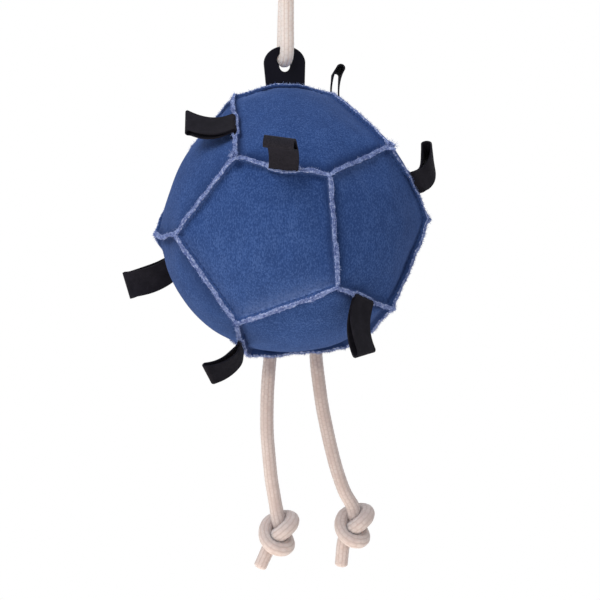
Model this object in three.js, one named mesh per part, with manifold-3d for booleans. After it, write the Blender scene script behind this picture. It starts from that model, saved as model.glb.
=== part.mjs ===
// Hanging play ball for horses: twelve sewn pentagon panels round a stuffed core,
// a slotted hanging tab with a looped rope, webbing loops in the seams and two knotted rope legs.
// Millimetres, +Z up. The origin is where a hook bears under the top of the hanging rope.
import * as THREE from "three";
import { mergeVertices } from "three/addons/utils/BufferGeometryUtils.js";
import Module from "manifold-3d";

// Ball
const ballDiameter = 200;      // over the seam ridges at the corners
const panelThickness = 2.2;
const ridgeHeight = 4.5;       // raw seam edges stand this far out of the cover
const ridgeThickness = 2.2;    // one panel's share of a ridge
const ridgeFillet = 2.6;
const ridgeFoot = 0.8;         // the cover starts to turn outwards at this height
const faceDip = 3;             // a panel's middle lies this much inside the corner sphere
const hangPull = 5;            // the load draws the top seam up
const hangPullSpread = 16;     // degrees from the top over which that fades
const swellSpread = 30;        // degrees from a panel's middle over which its swell fades
const seamGap = 0.3;
const stuffingGap = 0.3;
const clearance = 0.3;

// Hanging tab
const tabReach = 119;          // ball centre to the rope in the slot
const tabWidth = 31;
const tabBaseWidth = 28.5;
const tabThickness = 2.6;
const tabShoulderDrop = 2;     // the arch springs from this far below the slot's top centre
const tabRise = 10.3;          // slot's top centre to the top of the arch
const slotSlack = 0.8;
const slotDrop = 3.8;          // the slot narrows over this height to its lower end
const slotEndRadius = 4.2;

// Rope
const ropeDiameter = 10;
const knotRopeDiameter = 6.8;  // the rope is squeezed in a drawn knot
const tuckedEndDiameter = 2.4; // the hanging rope's end is pinched where it goes into the knot
const tuckLength = 8;
const hangDrop = 104;          // hook to the rope in the slot
const hangStep = 5.2;
const legStep = 4;
const ropeSides = 8;
const ballLean = -2.2;         // degrees about Y, the ball hangs a little off plumb
const legExitLeft = -20;
const legExitRight = 16;
const bightHeight = 30;        // the legs' shared bight reaches this far into the ball

// Webbing loops
const webbingWidth = 20;
const webbingThickness = 1.2;
const loopLength = 36;
const loopGap = 3.4;           // widest opening between the two layers
const loopStandoff = 1;        // bend line above the ridge
const loopOpensFrom = 0.15;    // shares of a loop's length between which its layers part
const loopOpensTo = 0.85;

const goldenRatio = (1 + Math.sqrt(5)) / 2;
const ropeRadius = ropeDiameter / 2;
const slotRadius = ropeRadius + slotSlack;
const cornerRadius = ballDiameter / 2 - ridgeHeight;
const edgeSteps = 6;
const degrees = THREE.MathUtils.degToRad;
const vec = (x, y, z) => new THREE.Vector3(x, y, z);

const blueSuede = new THREE.MeshStandardMaterial({ color: 0x3c5c9e, roughness: 0.9, metalness: 0 });
const fibreFill = new THREE.MeshStandardMaterial({ color: 0xefece4, roughness: 0.95, metalness: 0 });
const blackLeather = new THREE.MeshStandardMaterial({ color: 0x1c1c1e, roughness: 0.6, metalness: 0 });
const blackWebbing = new THREE.MeshStandardMaterial({ color: 0x18181a, roughness: 0.8, metalness: 0 });
const cottonRope = new THREE.MeshStandardMaterial({ color: 0xd6c8b8, roughness: 0.9, metalness: 0 });

const wasm = await Module();
wasm.setup();

function toSolid(geometry) {
  const bare = geometry.clone();
  bare.deleteAttribute("normal");
  bare.deleteAttribute("uv");
  const merged = mergeVertices(bare, 1e-4);
  return new wasm.Manifold(new wasm.Mesh({
    numProp: 3,
    vertProperties: new Float32Array(merged.attributes.position.array),
    triVerts: new Uint32Array(merged.index.array),
  }));
}

function toGeometry(solid) {
  const mesh = solid.getMesh();
  const geometry = new THREE.BufferGeometry();
  geometry.setAttribute("position", new THREE.BufferAttribute(new Float32Array(mesh.vertProperties), 3));
  geometry.setIndex(new THREE.BufferAttribute(new Uint32Array(mesh.triVerts), 1));
  return geometry;
}

function cutAll(geometry, cutters) {
  return toGeometry(cutters.reduce((solid, cutter) => solid.subtract(toSolid(cutter)), toSolid(geometry)));
}

function namedMesh(name, geometry, material) {
  geometry.computeVertexNormals();
  const mesh = new THREE.Mesh(geometry, material);
  mesh.name = name;
  return mesh;
}

// A closed skin over rings of equally many points, with a fan to a point at each end.
function loft(startPoint, rings, endPoint) {
  const count = rings[0].length;
  const points = [startPoint, ...rings.flat(), endPoint];
  const at = (ring, i) => 1 + ring * count + (i % count);
  const index = [];
  for (let i = 0; i < count; i += 1) {
    index.push(0, at(0, i), at(0, i + 1));
    for (let ring = 0; ring + 1 < rings.length; ring += 1) {
      index.push(at(ring, i), at(ring + 1, i), at(ring + 1, i + 1));
      index.push(at(ring, i), at(ring + 1, i + 1), at(ring, i + 1));
    }
    index.push(at(rings.length - 1, i), points.length - 1, at(rings.length - 1, i + 1));
  }
  const geometry = new THREE.BufferGeometry().setFromPoints(points);
  geometry.setIndex(index);
  return geometry;
}

// The cover: a dodecahedron blown up to nearly a sphere

const signs = [-1, 1];
const cornerDirections = [];
for (const a of signs) {
  for (const b of signs) {
    for (const c of signs) cornerDirections.push(vec(a, b, c).normalize());
    cornerDirections.push(vec(0, a * goldenRatio, b / goldenRatio).normalize());
    cornerDirections.push(vec(a / goldenRatio, 0, b * goldenRatio).normalize());
    cornerDirections.push(vec(a * goldenRatio, b / goldenRatio, 0).normalize());
  }
}

const panelNormals = {
  top_front: vec(0, -1, goldenRatio),
  top_back: vec(0, 1, goldenRatio),
  front_left: vec(-1, -goldenRatio, 0),
  front_right: vec(1, -goldenRatio, 0),
  back_left: vec(-1, goldenRatio, 0),
  back_right: vec(1, goldenRatio, 0),
  left_upper: vec(-goldenRatio, 0, 1),
  left_lower: vec(-goldenRatio, 0, -1),
  right_upper: vec(goldenRatio, 0, 1),
  right_lower: vec(goldenRatio, 0, -1),
  bottom_front: vec(0, -1, -goldenRatio),
  bottom_back: vec(0, 1, -goldenRatio),
};
Object.values(panelNormals).forEach((normal) => normal.normalize());

// Where the filling is packed unevenly, a panel's middle stands out of the even ball or falls short of it.
const panelSwell = {
  left_upper: -3.4, left_lower: 2.4, right_upper: -4, right_lower: -4.5, front_right: -2, top_back: -1.5,
  bottom_front: 1.2,
};
const cornerCosine = Math.max(...cornerDirections.map((corner) => corner.dot(panelNormals.top_front)));

function fade(direction, middle, spread) {
  return Math.exp(-((THREE.MathUtils.radToDeg(direction.angleTo(middle)) / spread) ** 2));
}

// Radius of the cover's outer face along a direction, on the panel whose normal lies nearest.
function coverRadius(direction) {
  const cosine = Math.max(...Object.values(panelNormals).map((normal) => normal.dot(direction)));
  const middleShare = (1 / cornerCosine - 1 / cosine) / (1 / cornerCosine - 1);
  const pull = hangPull * fade(direction, vec(0, 0, 1), hangPullSpread);
  const swell = Object.entries(panelSwell).reduce((sum, [name, height]) =>
    sum + height * fade(direction, panelNormals[name], swellSpread), 0);
  return cornerRadius - faceDip * middleShare + pull + swell;
}

function panelCorners(normal) {
  const corners = cornerDirections.filter((corner) => corner.dot(normal) > cornerCosine - 1e-6);
  const first = corners[0].clone().addScaledVector(normal, -cornerCosine).normalize();
  const second = normal.clone().cross(first);
  const angle = (corner) => Math.atan2(corner.dot(second), corner.dot(first));
  return corners.sort((a, b) => angle(a) - angle(b));
}

// Ring of points along a panel's five seams, inset from the seam planes, at a height above the cover.
function seamRing(normal, inset, height) {
  const corners = panelCorners(normal);
  const ring = [];
  corners.forEach((corner, k) => {
    const next = corners[(k + 1) % corners.length];
    const side = corner.clone().cross(next).normalize();
    const onSeam = [corner, next].map((end) => {
      const inward = normal.clone().addScaledVector(end, -normal.dot(end)).normalize();
      const shift = inset / inward.dot(side);
      const point = end.clone().multiplyScalar(cornerRadius).addScaledVector(inward, shift);
      return point.addScaledVector(side, -inset).normalize();
    });
    const sweep = onSeam[0].angleTo(onSeam[1]);
    const across = side.clone().cross(onSeam[0]);
    for (let step = 0; step < edgeSteps; step += 1) {
      const turn = (sweep * step) / edgeSteps;
      const along = onSeam[0].clone().multiplyScalar(Math.cos(turn)).addScaledVector(across, Math.sin(turn));
      const radius = coverRadius(along) + height;
      ring.push(along.multiplyScalar(Math.sqrt(radius ** 2 - inset ** 2)).addScaledVector(side, inset));
    }
  });
  return ring;
}

// Ring inside a panel, a share of the way from its middle to its border.
function faceRing(normal, border, share, height) {
  return border.map((point) => {
    const direction = normal.clone().lerp(point.clone().normalize(), share).normalize();
    return direction.multiplyScalar(coverRadius(direction) + height);
  });
}

// Rings of a panel's faces, as shares of the way from its middle to its border
const outerShares = [0.4, 0.75];
const innerShare = 0.6;

function panelGeometry(normal) {
  const seamSide = seamGap / 2;
  const ridgeSide = seamSide + ridgeThickness;
  const border = seamRing(normal, ridgeSide + ridgeFillet, 0);
  const innerEdge = seamRing(normal, seamSide, -panelThickness);
  const middle = coverRadius(normal);
  return loft(normal.clone().multiplyScalar(middle), [
    ...outerShares.map((share) => faceRing(normal, border, share, 0)),
    border,
    seamRing(normal, ridgeSide, ridgeFoot),
    seamRing(normal, ridgeSide, ridgeHeight),
    seamRing(normal, seamSide, ridgeHeight),
    innerEdge,
    faceRing(normal, innerEdge, innerShare, -panelThickness),
  ], normal.clone().multiplyScalar(middle - panelThickness));
}

function stuffingGeometry() {
  const depth = -panelThickness - stuffingGap;
  const points = [];
  const index = [];
  for (const normal of Object.values(panelNormals)) {
    const border = seamRing(normal, 0, depth);
    const ring = faceRing(normal, border, innerShare, depth);
    const start = points.length;
    const count = border.length;
    points.push(normal.clone().multiplyScalar(coverRadius(normal) + depth), ...ring, ...border);
    for (let i = 0; i < count; i += 1) {
      const a = start + 1 + i;
      const b = start + 1 + ((i + 1) % count);
      index.push(start, a, b);
      index.push(a, a + count, b);
      index.push(b, a + count, b + count);
    }
  }
  const geometry = new THREE.BufferGeometry().setFromPoints(points);
  geometry.setIndex(index);
  return mergeVertices(geometry, 1e-3);
}

// A place on the seam between two panels: outward there, along the seam, and towards the first panel.
function seamPlace(panelA, panelB, offset) {
  const normalA = panelNormals[panelA];
  const normalB = panelNormals[panelB];
  const middle = normalA.clone().add(normalB).normalize();
  const towardsA = normalA.clone().sub(normalB).normalize();
  const outward = middle.clone().applyAxisAngle(towardsA, -offset / cornerRadius);
  const tangent = towardsA.clone().cross(outward);
  return { outward, tangent, towardsA, radius: coverRadius(outward) };
}

function seamBox(place, width, thickness, fromRadius, toRadius) {
  const box = new THREE.BoxGeometry(thickness, toRadius - fromRadius, width);
  const basis = new THREE.Matrix4().makeBasis(place.towardsA, place.outward, place.tangent);
  basis.setPosition(place.outward.clone().multiplyScalar((fromRadius + toRadius) / 2));
  return box.applyMatrix4(basis);
}

// Webbing loops: which seam, how far along it, the lean towards the first panel and the curl, in degrees,
// and the sideways shear.
const loops = [
  { panels: ["left_upper", "top_front"], offset: 4.5, lean: 80, curl: -6, shear: 0.25 },
  { panels: ["top_back", "right_upper"], offset: 14, lean: 34, curl: -44, shear: 0.34 },
  { panels: ["top_front", "front_left"], offset: -3, lean: 22, curl: -40, shear: 0 },
  { panels: ["right_upper", "front_right"], offset: -1, lean: 43, curl: 68, shear: -0.12 },
  { panels: ["left_lower", "back_left"], offset: 1.4, lean: 24, curl: -22, shear: 0 },
  { panels: ["left_lower", "bottom_front"], offset: -3.9, lean: -10, curl: 50, shear: 0.45 },
  { panels: ["bottom_front", "front_right"], offset: -8.5, lean: 68, curl: -36, shear: -0.2 },
  { panels: ["back_right", "top_back"], offset: -4, lean: 38, curl: 16, shear: 0.1 },
  { panels: ["back_left", "back_right"], offset: 6, lean: 30, curl: 18, shear: -0.15 },
  { panels: ["right_lower", "bottom_back"], offset: -2, lean: 12, curl: 24, shear: 0.2 },
  { panels: ["bottom_back", "back_left"], offset: 0, lean: 40, curl: 16, shear: -0.1 },
];

// Side view of a folded strip: two layers from the bend line, opening into a rounded fold.
function loopShape(lean, curl) {
  const steps = 7;
  const endTurns = 6;
  const halfGap = loopGap / 2;
  const straight = loopLength - webbingThickness - halfGap;
  const spine = [];
  const position = new THREE.Vector2();
  for (let step = 0; step <= steps; step += 1) {
    const share = step / steps;
    const angle = degrees(lean + curl * share);
    const forward = new THREE.Vector2(Math.sin(angle), Math.cos(angle));
    const open = halfGap * THREE.MathUtils.smoothstep(share, loopOpensFrom, loopOpensTo);
    spine.push({ position: position.clone(), angle, open });
    position.addScaledVector(forward, straight / steps);
  }
  const offsetPoint = (station, distance, turn) => {
    const angle = station.angle + turn;
    const direction = new THREE.Vector2(Math.sin(angle), Math.cos(angle));
    return station.position.clone().addScaledVector(direction, distance);
  };
  const quarter = Math.PI / 2;
  const arc = (station, radius, from, to) => Array.from({ length: endTurns - 1 }, (unused, i) =>
    offsetPoint(station, radius, from + ((to - from) * (i + 1)) / endTurns));
  const foldEnd = spine[steps];
  const outline = [
    ...spine.map((station) => offsetPoint(station, station.open + webbingThickness, quarter)),
    ...arc(foldEnd, halfGap + webbingThickness, quarter, -quarter),
    ...spine.toReversed().map((station) => offsetPoint(station, station.open + webbingThickness, -quarter)),
    ...arc(spine[0], webbingThickness, -quarter, -3 * quarter),
  ];
  const opened = spine.filter((station) => station.open > 0);
  const lastClosed = spine[steps - opened.length];
  const opening = [
    lastClosed.position.clone(),
    ...opened.map((station) => offsetPoint(station, station.open, quarter)),
    ...arc(foldEnd, halfGap, quarter, -quarter),
    ...opened.toReversed().map((station) => offsetPoint(station, station.open, -quarter)),
  ];
  const shape = new THREE.Shape(outline);
  shape.holes.push(new THREE.Path(opening));
  return shape;
}

function loopGeometry(place, { lean, curl, shear }) {
  const settings = { depth: webbingWidth, bevelEnabled: false };
  const geometry = new THREE.ExtrudeGeometry(loopShape(lean, curl), settings);
  geometry.translate(0, 0, -webbingWidth / 2);
  const along = degrees(lean);
  geometry.applyMatrix4(new THREE.Matrix4().makeShear(
    0, shear * Math.sin(along), 0, shear * Math.cos(along), 0, 0));
  const basis = new THREE.Matrix4().makeBasis(place.towardsA, place.outward, place.tangent);
  basis.setPosition(place.outward.clone().multiplyScalar(place.radius + ridgeHeight + loopStandoff));
  return geometry.applyMatrix4(basis);
}

// Hanging tab
function tabGeometry() {
  const bottom = coverRadius(vec(0, 0, 1)) - panelThickness;
  const shoulder = tabReach - tabShoulderDrop;
  const outline = new THREE.Shape();
  outline.moveTo(-tabBaseWidth / 2, bottom);
  outline.lineTo(tabBaseWidth / 2, bottom);
  outline.lineTo(tabWidth / 2, shoulder);
  outline.absellipse(0, shoulder, tabWidth / 2, tabRise + tabShoulderDrop, 0, Math.PI, false, 0);
  outline.closePath();
  const slot = new THREE.Path();
  slot.absarc(0, tabReach, slotRadius, 0, Math.PI, false);
  slot.absarc(0, tabReach - slotDrop, slotEndRadius, Math.PI, 2 * Math.PI, false);
  outline.holes.push(slot);
  const settings = { depth: tabThickness, bevelEnabled: false, curveSegments: 16 };
  const geometry = new THREE.ExtrudeGeometry(outline, settings);
  return geometry.translate(0, 0, -tabThickness / 2).rotateX(Math.PI / 2);
}

// Rope: a tube through hand-set points, thinner where it is drawn tight in its knot

const legKnotFacing = -17;     // degrees about Z
const knotPoints = [
  [-1.2, 0.6, 14], [0.6, 0.2, 7], [2.6, 4.2, 0.5], [4.8, 3.7, -5.5], [6.4, -2.2, -9.5], [2.7, -8.8, -10.1],
  [-3, -10, -8.6], [-8.3, -5.5, -4.6], [-9.8, 1.4, 0.6], [-7, 6.6, 5.2], [-0.6, 8.8, 7.6], [6, 7.2, 9.2],
  [9.6, 1.2, 9.6], [8.6, -6, 7.6], [4.4, -9.1, 4.2], [0.2, -7.4, 0.4], [-2.5, -0.3, -3.6], [-4.6, 1.8, -8],
  [-7.6, 2.6, -13],
];

function knotAt(x, y, z, facing) {
  const centre = vec(x, y, z);
  const turn = degrees(facing);
  return knotPoints.map((point) => vec(...point).applyAxisAngle(vec(0, 0, 1), turn).add(centre));
}

function ropeRoute(lead, knot, tail, tuck = 0) {
  const points = [...lead.map((point) => vec(...point)), ...knot, ...tail.map((point) => vec(...point))];
  const curve = new THREE.CatmullRomCurve3(points, false, "centripetal");
  curve.arcLengthDivisions = 2000;
  const knotTo = lead.length + knot.length - 1;
  return { curve, tuck, length: curve.getLength(), knotFrom: lead.length, knotTo, last: points.length - 1 };
}

// Radius along the rope: full on the free runs, squeezed from about the knot's first point to its last.
function ropeRadiusAt(route, share) {
  const place = route.curve.getUtoTmapping(share) * route.last;
  const taper = 0.8;
  const into = THREE.MathUtils.smoothstep(place, route.knotFrom - taper, route.knotFrom + taper);
  const outOf = 1 - THREE.MathUtils.smoothstep(place, route.knotTo - taper, route.knotTo + taper);
  const full = THREE.MathUtils.lerp(ropeRadius, knotRopeDiameter / 2, Math.min(into, outOf));
  const tucked = 1 - THREE.MathUtils.smoothstep(share * route.length, 0, route.tuck);
  return route.tuck ? THREE.MathUtils.lerp(full, tuckedEndDiameter / 2, tucked) : full;
}

function ropeGeometry(route, step, domed) {
  const steps = Math.round(route.length / step);
  const frames = route.curve.computeFrenetFrames(steps, false);
  const ringAt = (i, radius, shift) => Array.from({ length: ropeSides }, (unused, side) => {
    const angle = (2 * Math.PI * side) / ropeSides;
    return route.curve.getPointAt(i / steps)
      .addScaledVector(frames.normals[i], radius * Math.cos(angle))
      .addScaledVector(frames.binormals[i], -radius * Math.sin(angle))
      .addScaledVector(frames.tangents[i], shift);
  });
  const rings = [];
  let start = route.curve.getPointAt(0);
  if (domed) {
    for (const angle of [60, 30]) {
      rings.push(ringAt(0, ropeRadius * Math.cos(degrees(angle)), -ropeRadius * Math.sin(degrees(angle))));
    }
    start = start.addScaledVector(frames.tangents[0], -ropeRadius);
  }
  for (let i = 0; i <= steps; i += 1) rings.push(ringAt(i, ropeRadiusAt(route, i / steps), 0));
  return loft(start, rings, route.curve.getPointAt(1));
}

function leastSelfGap(route) {
  const spacing = 1.5;
  const apart = Math.ceil((1.5 * ropeDiameter) / spacing);
  const count = Math.round(route.length / spacing);
  const points = route.curve.getSpacedPoints(count);
  let least = Infinity;
  for (let i = 0; i <= count; i += 1) {
    for (let j = i + apart; j <= count; j += 1) {
      const radii = ropeRadiusAt(route, i / count) + ropeRadiusAt(route, j / count);
      least = Math.min(least, points[i].distanceTo(points[j]) - radii);
    }
  }
  return least;
}

// Heights here are above the rope's place in the slot; the cut end meets the knot from below.
const hangRoute = ropeRoute([
  [1.2, 1, 52.8], [1.4, 2.6, 46], [1.8, 5.4, 34], [1.9, 7, 21], [1.6, 7.4, 9], [0.4, 5.3, 2.2], [0, 0, 0],
  [-0.2, -5.4, 2.2], [-0.3, -7.6, 9], [-0.6, -8.4, 21], [-1.3, -10.6, 34], [-2.3, -14, 49], [-3, -16.8, 64],
  [-3, -17.4, 80], [-2.4, -16.8, 92], [-0.8, -12.4, 103], [1.4, -1.2, 108.6], [3.2, 9.6, 103], [4.1, 14, 91],
], knotAt(4.6, 9.5, 68, 0), [[-5, 18.5, 53], [-6, 27, 54]], tuckLength);

// Leg routes start at the bend line in the bottom seam.
const legLeftRoute = ropeRoute([
  [0, 0, 0], [-1, 0, -10], [-2, 0, -24], [-2.5, 0, -40],
  [-2.4, 0, -56], [-1.1, 0, -73], [0.8, 0, -92], [3.2, 0, -107],
], knotAt(6.4, -0.9, -133.5, legKnotFacing), [[-7.8, 4.4, -162.3]]);
const legRightRoute = ropeRoute([
  [0, 0, 0], [0.8, 0, -10], [2.6, 0, -24], [5.1, 0, -41],
  [8.4, 0, -57], [12.3, 0, -74], [17.2, 0, -92], [23.4, 0, -109],
], knotAt(31.2, -0.9, -135.5, legKnotFacing), [[22.2, 4.4, -169.9]]);

for (const [name, route] of Object.entries({ hangRoute, legLeftRoute, legRightRoute })) {
  const length = route.length.toFixed(1);
  console.log(`${name}: length ${length} mm, least gap to itself ${leastSelfGap(route).toFixed(2)} mm`);
}

// The legs' bight inside the ball, from one exit to the other
const legPivotRadius = (exit) => coverRadius(vec(exit, 0, -cornerRadius).normalize()) + ridgeHeight;

function bightGeometry(radius, overrun) {
  const middle = (legExitLeft + legExitRight) / 2;
  const halfSpan = (legExitRight - legExitLeft) / 2;
  const footLeft = -legPivotRadius(legExitLeft) + ropeRadius + clearance - overrun;
  const footRight = -legPivotRadius(legExitRight) + ropeRadius + clearance - overrun;
  const spring = bightHeight - halfSpan - legPivotRadius(middle) + ropeRadius;
  const arcPoint = (turn) => vec(middle - halfSpan * Math.cos(turn), 0, spring + halfSpan * Math.sin(turn));
  const arcPoints = [0, 1, 2, 3, 4, 5, 6].map((i) => arcPoint((Math.PI * i) / 6));
  const path = new THREE.CatmullRomCurve3(
    [vec(legExitLeft, 0, footLeft), ...arcPoints, vec(legExitRight, 0, footRight)], false, "centripetal");
  const section = new THREE.Shape(Array.from({ length: ropeSides }, (unused, side) => {
    const angle = (2 * Math.PI * (side + 0.5)) / ropeSides;
    return new THREE.Vector2(radius * Math.cos(angle), radius * Math.sin(angle));
  }));
  return new THREE.ExtrudeGeometry(section, { steps: 22, extrudePath: path, bevelEnabled: false });
}

// Cuts in the seams, listed under each panel that they enter
const seamCuts = Object.fromEntries(Object.keys(panelNormals).map((name) => [name, []]));

function addCut(panels, cutter) {
  panels.forEach((panel) => seamCuts[panel].push(cutter));
}

const ball = new THREE.Group();
const ballCentre = new THREE.Group();
ballCentre.position.set(0, 0, -tabReach);
ball.add(ballCentre);
ball.position.set(0, 0, -hangDrop);
ball.rotation.y = degrees(ballLean);

const tabPlace = seamPlace("top_front", "top_back", 0);
addCut(["top_front", "top_back"], seamBox(
  tabPlace,
  tabWidth + 2 * clearance,
  tabThickness + 2 * clearance,
  tabPlace.radius - 2 * panelThickness,
  tabPlace.radius + 2 * ridgeHeight,
));
ballCentre.add(namedMesh("hanging_tab", tabGeometry(), blackLeather));

for (const exit of [legExitLeft, legExitRight]) {
  const drillRadius = ropeRadius + clearance;
  const drill = new THREE.CylinderGeometry(drillRadius, drillRadius, 6 * ridgeHeight, 16);
  drill.rotateX(Math.PI / 2);
  drill.translate(exit, 0, -legPivotRadius(exit));
  addCut(["bottom_front", "bottom_back"], drill);
}

loops.forEach((loop, i) => {
  const { panels, offset } = loop;
  const place = seamPlace(...panels, offset);
  const ridgeTop = place.radius + ridgeHeight;
  const sewnTop = ridgeTop + loopStandoff - webbingThickness - clearance;
  const sewnFoot = place.radius - panelThickness;
  const sewnThickness = 2 * webbingThickness;
  addCut(panels, seamBox(
    place,
    webbingWidth + 2 * clearance,
    sewnThickness + 2 * clearance,
    sewnFoot - panelThickness,
    ridgeTop + ridgeHeight,
  ));
  ballCentre.add(namedMesh(
    `webbing_tail_${i + 1}`, seamBox(place, webbingWidth, sewnThickness, sewnFoot, sewnTop), blackWebbing));
  ballCentre.add(namedMesh(`webbing_loop_${i + 1}`, loopGeometry(place, loop), blackWebbing));
});

for (const [name, normal] of Object.entries(panelNormals)) {
  ballCentre.add(namedMesh(`panel_${name}`, cutAll(panelGeometry(normal), seamCuts[name]), blueSuede));
}
const bightPocket = bightGeometry(ropeRadius + clearance, 2 * ropeRadius);
ballCentre.add(namedMesh("stuffing", cutAll(stuffingGeometry(), [bightPocket]), fibreFill));
ballCentre.add(namedMesh("leg_rope_bight", bightGeometry(ropeRadius, 0), cottonRope));

// Legs hang plumb from their bend lines whatever the ball's lean
function legAt(name, exit, route) {
  const pivot = vec(exit, 0, -legPivotRadius(exit) - tabReach);
  pivot.applyAxisAngle(vec(0, 1, 0), degrees(ballLean));
  const mesh = namedMesh(name, ropeGeometry(route, legStep, true), cottonRope);
  mesh.position.copy(pivot).add(ball.position);
  return mesh;
}

const hangRope = namedMesh("hang_rope", ropeGeometry(hangRoute, hangStep, false), cottonRope);
hangRope.position.copy(ball.position);

const playBall = new THREE.Group();
playBall.add(
  hangRope,
  ball,
  legAt("leg_rope_left", legExitLeft, legLeftRoute),
  legAt("leg_rope_right", legExitRight, legRightRoute),
);

export default playBall;
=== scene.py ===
# Hanging play ball: suede cover with raw seam ridges, webbing loops, hanging tab and cotton ropes.
import bpy
import bmesh
import math
import random
from mathutils import Matrix, Vector, noise


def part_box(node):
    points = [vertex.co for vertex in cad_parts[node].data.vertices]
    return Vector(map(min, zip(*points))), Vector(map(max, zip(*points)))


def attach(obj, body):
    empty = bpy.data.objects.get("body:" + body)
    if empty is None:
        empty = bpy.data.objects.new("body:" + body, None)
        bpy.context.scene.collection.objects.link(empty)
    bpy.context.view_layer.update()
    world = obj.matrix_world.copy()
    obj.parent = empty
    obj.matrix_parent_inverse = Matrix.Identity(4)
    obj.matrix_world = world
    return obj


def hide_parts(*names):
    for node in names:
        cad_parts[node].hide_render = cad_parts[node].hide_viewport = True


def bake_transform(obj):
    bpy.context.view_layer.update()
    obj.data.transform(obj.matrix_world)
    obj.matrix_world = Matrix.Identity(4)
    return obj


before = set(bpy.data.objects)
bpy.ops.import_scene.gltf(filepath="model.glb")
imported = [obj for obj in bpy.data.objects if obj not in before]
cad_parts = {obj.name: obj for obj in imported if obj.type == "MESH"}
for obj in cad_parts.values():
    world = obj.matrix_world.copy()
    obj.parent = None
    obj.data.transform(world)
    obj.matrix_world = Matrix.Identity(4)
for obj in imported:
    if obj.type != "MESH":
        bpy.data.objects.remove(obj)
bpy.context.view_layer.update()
scene = bpy.context.scene
print("frame loaded:", len(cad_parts), "nodes")

golden = (1 + math.sqrt(5)) / 2

ballForm = {
    "cornerRadius": 0.0955,  # cover at the seam corners, metres
    "faceDip": 0.003,  # a panel's middle lies this much lower
    "hangPull": 0.0068,  # the load draws the top seam up
    "hangPullAlong": 17,  # degrees, along the top seam
    "hangPullAcross": 15,
    "cornerRise": 0.0022,  # corners stand out of the even ball
    "cornerSpread": 8.5,  # degrees
    "seamSag": 0.0016,  # and the seams' middles fall short of it
    "seamSpread": 13,  # degrees
    "lean": -2.2,  # degrees about Y
    "hangDrop": 0.104,  # hook to the rope in the slot
    "tabReach": 0.119,  # ball centre to the rope in the slot
}
ballRadius = ballForm["cornerRadius"]
pivot = Vector((0, 0, -ballForm["hangDrop"]))
leanTurn = Matrix.Rotation(math.radians(ballForm["lean"]), 4, "Y")
ballPlace = Matrix.Translation(pivot) @ leanTurn @ Matrix.Translation((0, 0, -ballForm["tabReach"]))
ballCentre = ballPlace @ Vector()


def smoothStep(low, high, value):
    share = min(1, max(0, (value - low) / (high - low)))
    return share * share * (3 - 2 * share)


def lerp(a, b, share):
    return a + (b - a) * share


# camera, where the photograph was taken from
cameraView = {
    "azimuth": -17.2,
    "elevation": 5.1,
    "distance": 1.0,  # from the ball's centre
    "lens": 81.5,
    "sensor": 36,
    "frameSize": 600,
    "ballPixel": (290.7, 224.8),
}


def placeCamera(view):
    azimuth, elevation = math.radians(view["azimuth"]), math.radians(view["elevation"])
    toCamera = Vector((
        math.sin(azimuth) * math.cos(elevation),
        -math.cos(azimuth) * math.cos(elevation),
        math.sin(elevation),
    ))
    right = (-toCamera).cross(Vector((0, 0, 1))).normalized()
    up = right.cross(-toCamera)
    metresPerPixel = view["distance"] * view["sensor"] / view["lens"] / view["frameSize"]
    half = view["frameSize"] / 2
    aim = ballCentre.copy()
    aim += right * (half - view["ballPixel"][0]) * metresPerPixel
    aim -= up * (half - view["ballPixel"][1]) * metresPerPixel
    data = bpy.data.cameras.new("photoCamera")
    data.lens = view["lens"]
    data.sensor_width = view["sensor"]
    data.clip_start = 0.01
    camera = bpy.data.objects.new("photoCamera", data)
    camera.location = ballCentre + toCamera * view["distance"]
    camera.rotation_euler = (aim - camera.location).to_track_quat("-Z", "Y").to_euler()
    scene.collection.objects.link(camera)
    scene.camera = camera


placeCamera(cameraView)
print("camera set")


# shader helpers

def addNode(tree, kind, inputs=None, **settings):
    made = tree.nodes.new(kind)
    for name, value in settings.items():
        setattr(made, name, value)
    for name, value in (inputs or {}).items():
        if isinstance(value, bpy.types.NodeSocket):
            tree.links.new(value, made.inputs[name])
        else:
            made.inputs[name].default_value = value
    return made


def mathNode(tree, operation, a, b=0.0):
    return addNode(tree, "ShaderNodeMath", {0: a, 1: b}, operation=operation).outputs[0]


def mixColour(tree, share, a, b):
    return addNode(tree, "ShaderNodeMix", {0: share, 6: a, 7: b}, data_type="RGBA").outputs[2]


def rangeNode(tree, value, low, high, toLow=0.0, toHigh=1.0):
    inputs = {"Value": value, "From Min": low, "From Max": high, "To Min": toLow, "To Max": toHigh}
    return addNode(tree, "ShaderNodeMapRange", inputs, interpolation_type="SMOOTHSTEP").outputs[0]


def noiseNode(tree, vector, scale, detail=3.0, roughness=0.55):
    inputs = {"Vector": vector, "Scale": scale, "Detail": detail, "Roughness": roughness}
    return addNode(tree, "ShaderNodeTexNoise", inputs).outputs["Fac"]


def startMaterial(name, **sockets):
    material = bpy.data.materials.new(name)
    material.use_nodes = True
    tree = material.node_tree
    shader = tree.nodes["Principled BSDF"]
    for socket, value in sockets.items():
        shader.inputs[socket.replace("_", " ")].default_value = value
    objectPlace = addNode(tree, "ShaderNodeTexCoord").outputs["Object"]
    return material, tree, shader, objectPlace


def paint(tree, shader, colour, height, strength, distance):
    tree.links.new(colour, shader.inputs["Base Color"])
    bump = addNode(tree, "ShaderNodeBump", {"Height": height, "Strength": strength, "Distance": distance})
    tree.links.new(bump.outputs["Normal"], shader.inputs["Normal"])


def attributeNode(tree, name):
    return addNode(tree, "ShaderNodeAttribute", attribute_name=name).outputs["Fac"]


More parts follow.
